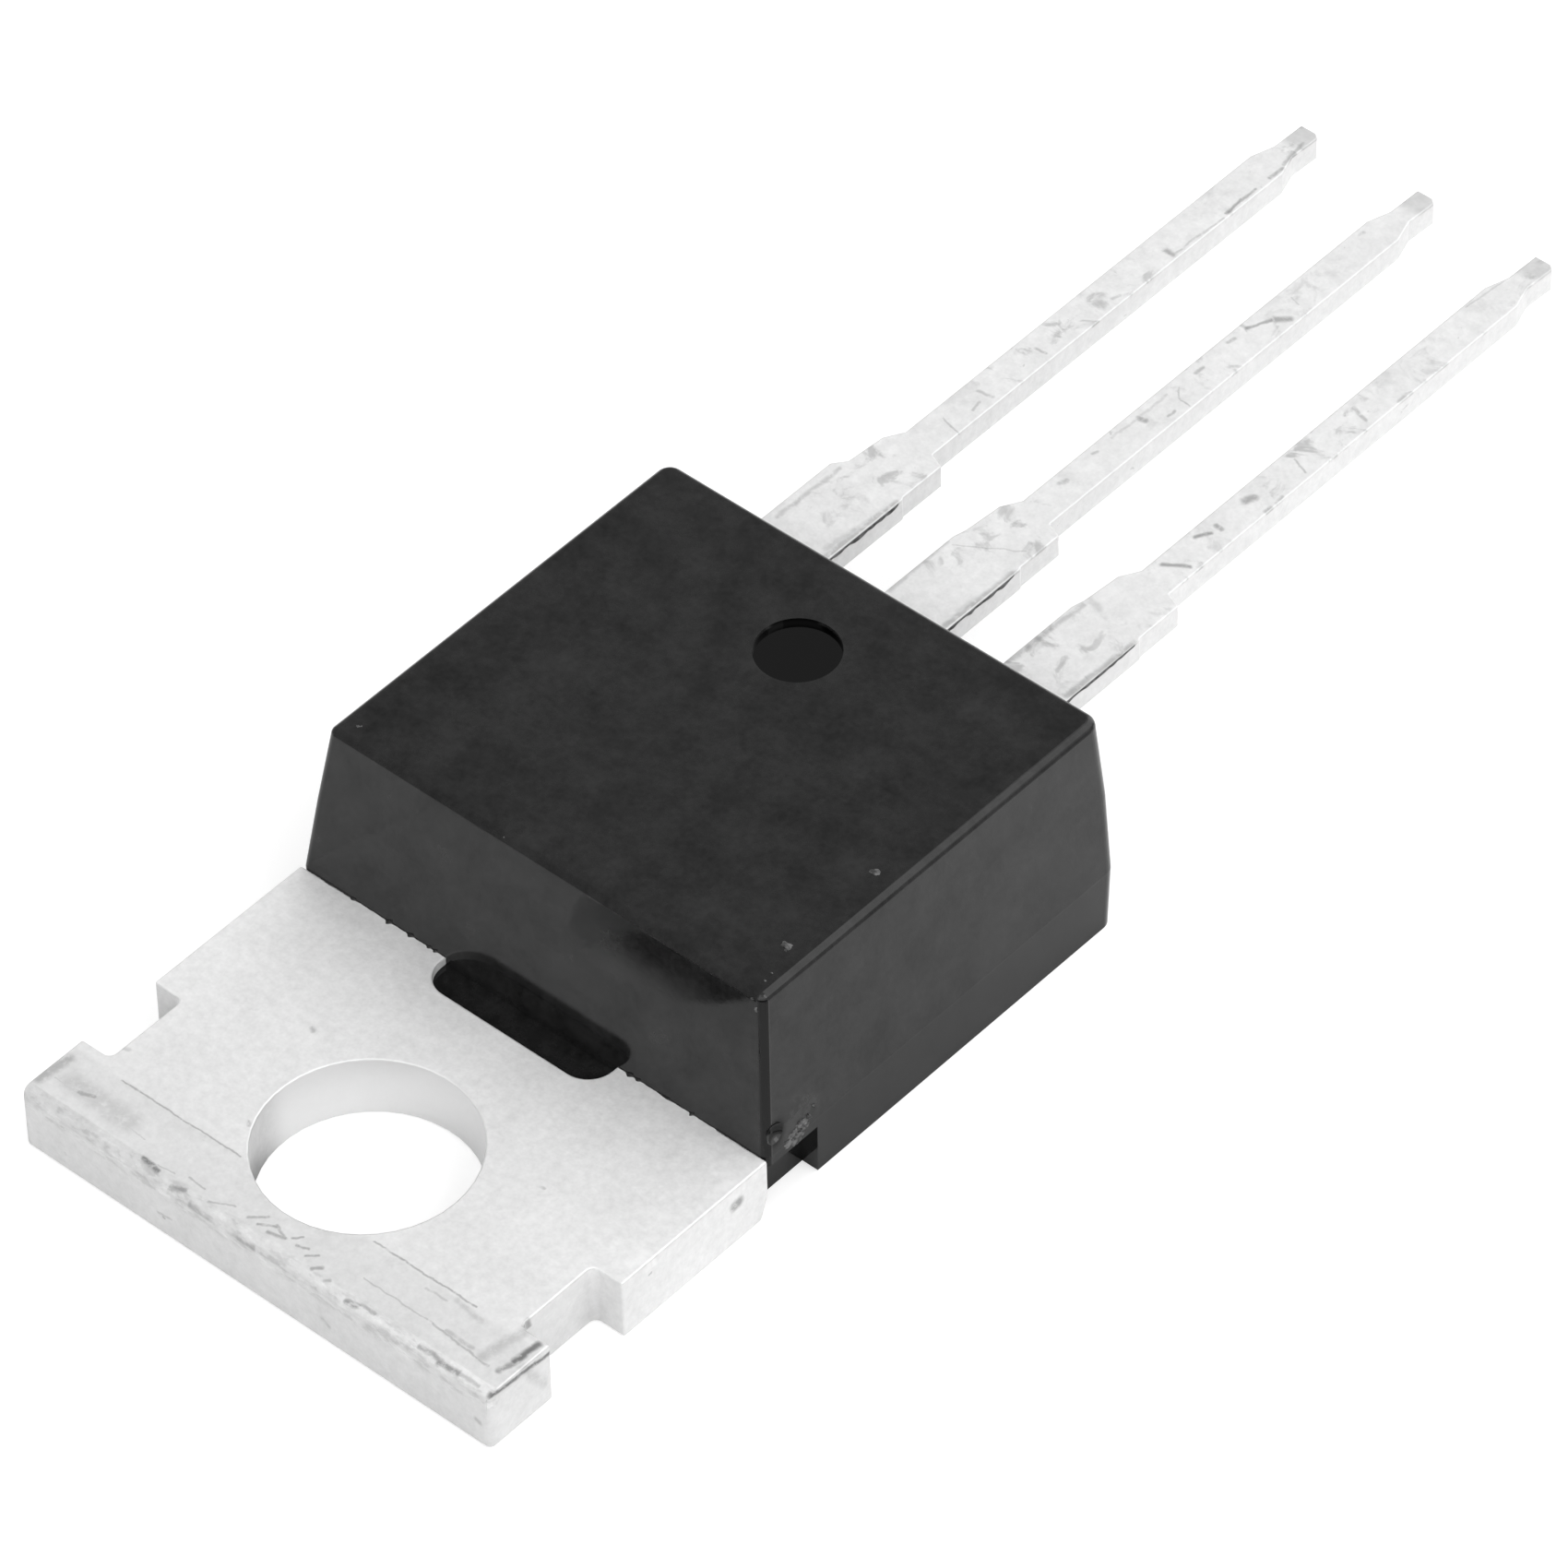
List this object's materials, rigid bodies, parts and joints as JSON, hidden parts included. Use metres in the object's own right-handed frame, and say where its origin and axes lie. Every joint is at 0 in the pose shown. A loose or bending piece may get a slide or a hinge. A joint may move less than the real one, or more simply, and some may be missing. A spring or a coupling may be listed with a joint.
{
  "type": "power transistor",
  "caption": "Through-hole power transistor: dark moulded body on a thick metal tab with a mounting hole, flat leads out of the rear.",
  "frame": {"origin": "centre of the tab's mounting hole, on the flat metal back", "axes": "+X across the package towards lead 1, +Y from the tab end towards the lead tips, +Z out of the metal back through the plastic's top"},
  "size_m": [0.01, 0.029, 0.0043],
  "materials": {
    "epoxy": "black moulding compound, satin with a soft shine",
    "plated_metal": "matte tin plating over copper, with fine grain and small scuffs",
    "silicon": "polished chip surface, sealed in",
    "solder": "dull solder, sealed in",
    "bond_wire": "bright wire, sealed in"
  },
  "bodies": {
    "root": {"moulded_body": "epoxy", "heatsink_tab": "plated_metal", "middle_lead": "plated_metal", "gate_lead": "plated_metal", "source_lead": "plated_metal", "chip": "silicon", "chip_solder": "solder", "gate_wire": "bond_wire", "source_wire_inner": "bond_wire", "source_wire_outer": "bond_wire"}
  },
  "joints": []
}
